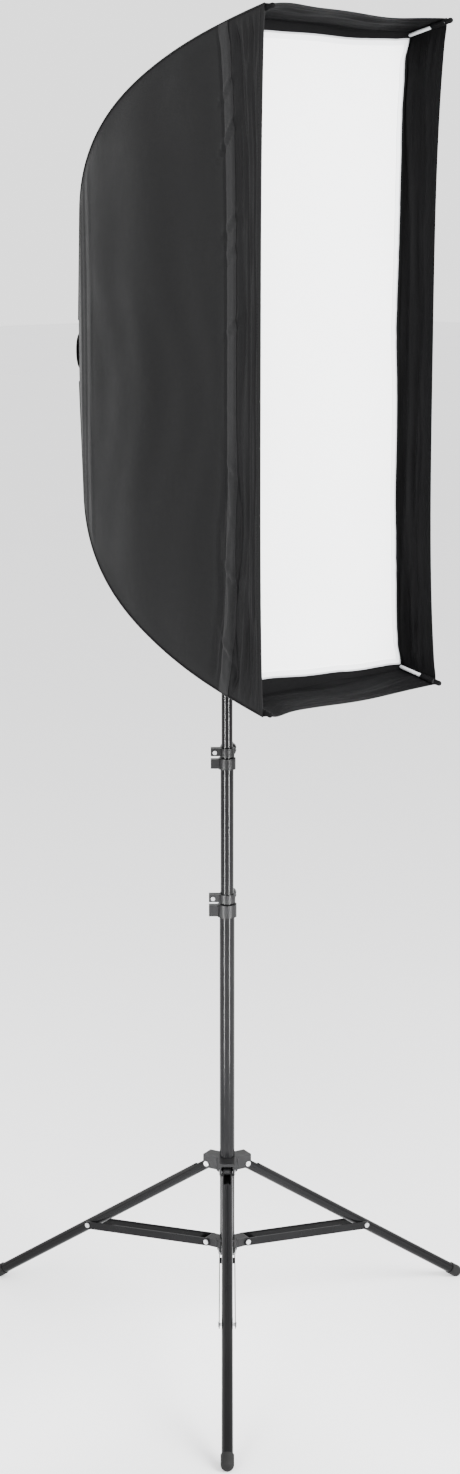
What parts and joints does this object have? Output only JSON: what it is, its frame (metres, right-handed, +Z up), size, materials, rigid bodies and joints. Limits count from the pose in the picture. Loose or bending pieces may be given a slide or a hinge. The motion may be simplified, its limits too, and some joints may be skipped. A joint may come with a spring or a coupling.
{
  "type": "strip softbox on light stand",
  "caption": "Tall strip softbox with a recessed white diffuser, folding umbrella-style frame and swivel bracket, on a telescoping tripod light stand.",
  "frame": {"origin": "on the floor at the centre of the tripod's footprint (the pole stands at x -59.3 mm, y -49.4 mm)", "axes": "+Z up along the pole, -Y the way the diffuser faces, +X to the right seen from the front"},
  "size_m": [0.7164, 0.7256, 1.9088],
  "materials": {
    "black_paint": "semi-gloss black powder coat over aluminium tube",
    "black_casting": "moulded black nylon, fine satin texture",
    "black_nylon": "black satin nylon outside, silver lining inside",
    "seam_tape": "woven black tape with stitching",
    "white_diffuser": "white translucent polyester",
    "grey_hem": "grey woven hem tape",
    "zinc": "zinc-plated rivets and bolts",
    "steel_rod": "bright spring steel",
    "rubber": "moulded black rubber"
  },
  "bodies": {
    "lower_column": {"lower_tube": "black_paint", "brace_collar": "black_casting", "brace_collar_rivets": "zinc", "lower_clamp": "black_casting", "lower_clamp_bolt": "zinc"},
    "lower_knob": {"lower_clamp_knob": "black_casting"},
    "mid_column": {"mid_tube": "black_paint", "mid_tube_bush": "black_casting", "upper_clamp": "black_casting", "upper_clamp_bolt": "zinc"},
    "upper_knob": {"upper_clamp_knob": "black_casting"},
    "top_column": {"top_tube": "black_paint", "top_tube_bush": "black_casting", "spigot": "zinc"},
    "leg_spider": {"leg_collar": "black_casting", "leg_collar_rivets": "zinc"},
    "leg_front": {"leg_front": "black_paint", "foot_cap_front": "rubber"},
    "brace_front": {"brace_front": "black_paint", "brace_rivets_front": "zinc"},
    "leg_right": {"leg_right": "black_paint", "foot_cap_right": "rubber"},
    "brace_right": {"brace_right": "black_paint", "brace_rivets_right": "zinc"},
    "leg_rear": {"leg_rear": "black_paint", "foot_cap_rear": "rubber"},
    "brace_rear": {"brace_rear": "black_paint", "brace_rivets_rear": "zinc"},
    "bracket_base": {"bracket_base": "black_casting", "tilt_bolt": "zinc"},
    "bracket_knob": {"bracket_knob": "black_casting"},
    "bracket_head": {"bracket_head": "black_casting", "cold_shoe": "zinc"},
    "tilt_lever": {"tilt_lever": "black_casting"},
    "shaft_screw": {"shaft_screw": "black_casting"},
    "softbox": {"shaft": "steel_rod", "rear_hub": "black_casting", "rear_hub_pins": "steel_rod", "rear_cap": "black_casting", "left_panel": "black_nylon", "right_panel": "black_nylon", "top_panel": "black_nylon", "bottom_panel": "black_nylon", "seam_band": "seam_tape", "diffuser": "white_diffuser", "diffuser_hem": "grey_hem"},
    "runner": {"runner": "black_casting", "runner_pins": "steel_rod"},
    "rib_upper_left": {"rib_upper_left": "steel_rod", "rib_tip_upper_left": "black_casting"},
    "stretcher_upper_left": {"stretcher_upper_left": "steel_rod"},
    "rib_upper_right": {"rib_upper_right": "steel_rod", "rib_tip_upper_right": "black_casting"},
    "stretcher_upper_right": {"stretcher_upper_right": "steel_rod"},
    "rib_lower_left": {"rib_lower_left": "steel_rod", "rib_tip_lower_left": "black_casting"},
    "stretcher_lower_left": {"stretcher_lower_left": "steel_rod"},
    "rib_lower_right": {"rib_lower_right": "steel_rod", "rib_tip_lower_right": "black_casting"},
    "stretcher_lower_right": {"stretcher_lower_right": "steel_rod"}
  },
  "joints": [
    {"name": "mid_tube_slide", "type": "slide", "parent": "lower_column", "child": "mid_column", "axis": [0, 0, 1], "range_m": [-0.165, 0.28]},
    {"name": "top_tube_slide", "type": "slide", "parent": "mid_column", "child": "top_column", "axis": [0, 0, 1], "range_m": [-0.15, 0.065]},
    {"name": "lower_knob_turn", "type": "hinge", "parent": "lower_column", "child": "lower_knob", "pos_m": [-0.0407, -0.03264, 0.6806], "axis": [0.7431, 0.6691, 0], "range_deg": [0, 270]},
    {"name": "upper_knob_turn", "type": "hinge", "parent": "mid_column", "child": "upper_knob", "pos_m": [-0.0407, -0.03264, 0.8976], "axis": [0.7431, 0.6691, 0], "range_deg": [0, 270]},
    {"name": "collar_slide", "type": "slide", "parent": "lower_column", "child": "leg_spider", "axis": [0, 0, 1], "range_m": [0, 0.3393]},
    {"name": "leg_front_hinge", "type": "hinge", "parent": "leg_spider", "child": "leg_front", "pos_m": [-0.07963, -0.07074, 0.269], "axis": [0.7242, -0.6896, 0], "range_deg": [0, 48.75]},
    {"name": "brace_front_hinge", "type": "hinge", "parent": "lower_column", "child": "brace_front", "pos_m": [-0.07963, -0.07074, 0.145], "axis": [-0.7242, 0.6896, 0], "range_deg": [0, 85.74]},
    {"name": "leg_right_hinge", "type": "hinge", "parent": "leg_spider", "child": "leg_right", "pos_m": [-0.03061, -0.05631, 0.269], "axis": [0.2351, 0.972, 0], "range_deg": [0, 48.75]},
    {"name": "brace_right_hinge", "type": "hinge", "parent": "lower_column", "child": "brace_right", "pos_m": [-0.03061, -0.05631, 0.145], "axis": [-0.2351, -0.972, 0], "range_deg": [0, 85.74]},
    {"name": "leg_rear_hinge", "type": "hinge", "parent": "leg_spider", "child": "leg_rear", "pos_m": [-0.06761, -0.02107, 0.269], "axis": [-0.9593, -0.2823, 0], "range_deg": [0, 48.75]},
    {"name": "brace_rear_hinge", "type": "hinge", "parent": "lower_column", "child": "brace_rear", "pos_m": [-0.06761, -0.02107, 0.145], "axis": [0.9593, 0.2823, 0], "range_deg": [0, 85.74]},
    {"name": "bracket_pan", "type": "hinge", "parent": "top_column", "child": "bracket_base", "pos_m": [-0.05928, -0.04937, 1.384], "axis": [0, 0, 1], "continuous": true},
    {"name": "bracket_knob_turn", "type": "hinge", "parent": "bracket_base", "child": "bracket_knob", "pos_m": [-0.07928, -0.04937, 1.398], "axis": [-1, 0, 0], "range_deg": [0, 270]},
    {"name": "head_tilt", "type": "hinge", "parent": "bracket_base", "child": "bracket_head", "pos_m": [-0.05928, -0.04937, 1.434], "axis": [1, 0, 0], "range_deg": [-12, 12]},
    {"name": "tilt_lever_turn", "type": "hinge", "parent": "bracket_base", "child": "tilt_lever", "pos_m": [-0.03928, -0.04937, 1.434], "axis": [1, 0, 0], "range_deg": [0, 90]},
    {"name": "shaft_screw_turn", "type": "hinge", "parent": "bracket_head", "child": "shaft_screw", "pos_m": [-0.07428, -0.04937, 1.458], "axis": [-1, 0, 0], "range_deg": [0, 270]},
    {"name": "shaft_slide", "type": "slide", "parent": "bracket_head", "child": "softbox", "axis": [0, 1, 0], "range_m": [-0.02, 0.02]},
    {"name": "runner_slide", "type": "slide", "parent": "softbox", "child": "runner", "axis": [0, -1, 0], "range_m": [0, 0.065], "deforming": ["left_panel", "right_panel", "top_panel", "bottom_panel", "seam_band", "diffuser", "diffuser_hem"]},
    {"name": "rib_upper_left_hinge", "type": "hinge", "parent": "softbox", "child": "rib_upper_left", "pos_m": [-0.06451, 0.23463, 1.47206], "axis": [0.9374, 0, 0.3482], "range_deg": [0, 12.95]},
    {"name": "stretcher_upper_left_hinge", "type": "hinge", "parent": "runner", "child": "stretcher_upper_left", "pos_m": [-0.06555, 0.06563, 1.47487], "axis": [-0.9374, 0, -0.3482], "range_deg": [0, 9.31]},
    {"name": "rib_upper_right_hinge", "type": "hinge", "parent": "softbox", "child": "rib_upper_right", "pos_m": [-0.05406, 0.23463, 1.47206], "axis": [0.9374, 0, -0.3482], "range_deg": [0, 12.95]},
    {"name": "stretcher_upper_right_hinge", "type": "hinge", "parent": "runner", "child": "stretcher_upper_right", "pos_m": [-0.05301, 0.06563, 1.47487], "axis": [-0.9374, 0, 0.3482], "range_deg": [0, 9.31]},
    {"name": "rib_lower_left_hinge", "type": "hinge", "parent": "softbox", "child": "rib_lower_left", "pos_m": [-0.06451, 0.23463, 1.44394], "axis": [-0.9374, 0, 0.3482], "range_deg": [0, 12.95]},
    {"name": "stretcher_lower_left_hinge", "type": "hinge", "parent": "runner", "child": "stretcher_lower_left", "pos_m": [-0.06555, 0.06563, 1.44113], "axis": [0.9374, 0, -0.3482], "range_deg": [0, 9.31]},
    {"name": "rib_lower_right_hinge", "type": "hinge", "parent": "softbox", "child": "rib_lower_right", "pos_m": [-0.05406, 0.23463, 1.44394], "axis": [-0.9374, 0, -0.3482], "range_deg": [0, 12.95]},
    {"name": "stretcher_lower_right_hinge", "type": "hinge", "parent": "runner", "child": "stretcher_lower_right", "pos_m": [-0.05301, 0.06563, 1.44113], "axis": [0.9374, 0, 0.3482], "range_deg": [0, 9.31]}
  ],
  "couplings": [
    {"joint": "leg_front_hinge", "follows": "collar_slide", "rad_per_m": 2.4818},
    {"joint": "brace_front_hinge", "follows": "collar_slide", "rad_per_m": 4.3847},
    {"joint": "leg_right_hinge", "follows": "collar_slide", "rad_per_m": 2.4818},
    {"joint": "brace_right_hinge", "follows": "collar_slide", "rad_per_m": 4.3847},
    {"joint": "leg_rear_hinge", "follows": "collar_slide", "rad_per_m": 2.4818},
    {"joint": "brace_rear_hinge", "follows": "collar_slide", "rad_per_m": 4.3847},
    {"joint": "rib_upper_left_hinge", "follows": "runner_slide", "rad_per_m": 3.343},
    {"joint": "stretcher_upper_left_hinge", "follows": "runner_slide", "rad_per_m": 2.3644},
    {"joint": "rib_upper_right_hinge", "follows": "runner_slide", "rad_per_m": 3.343},
    {"joint": "stretcher_upper_right_hinge", "follows": "runner_slide", "rad_per_m": 2.3644},
    {"joint": "rib_lower_left_hinge", "follows": "runner_slide", "rad_per_m": 3.343},
    {"joint": "stretcher_lower_left_hinge", "follows": "runner_slide", "rad_per_m": 2.3644},
    {"joint": "rib_lower_right_hinge", "follows": "runner_slide", "rad_per_m": 3.343},
    {"joint": "stretcher_lower_right_hinge", "follows": "runner_slide", "rad_per_m": 2.3644}
  ]
}
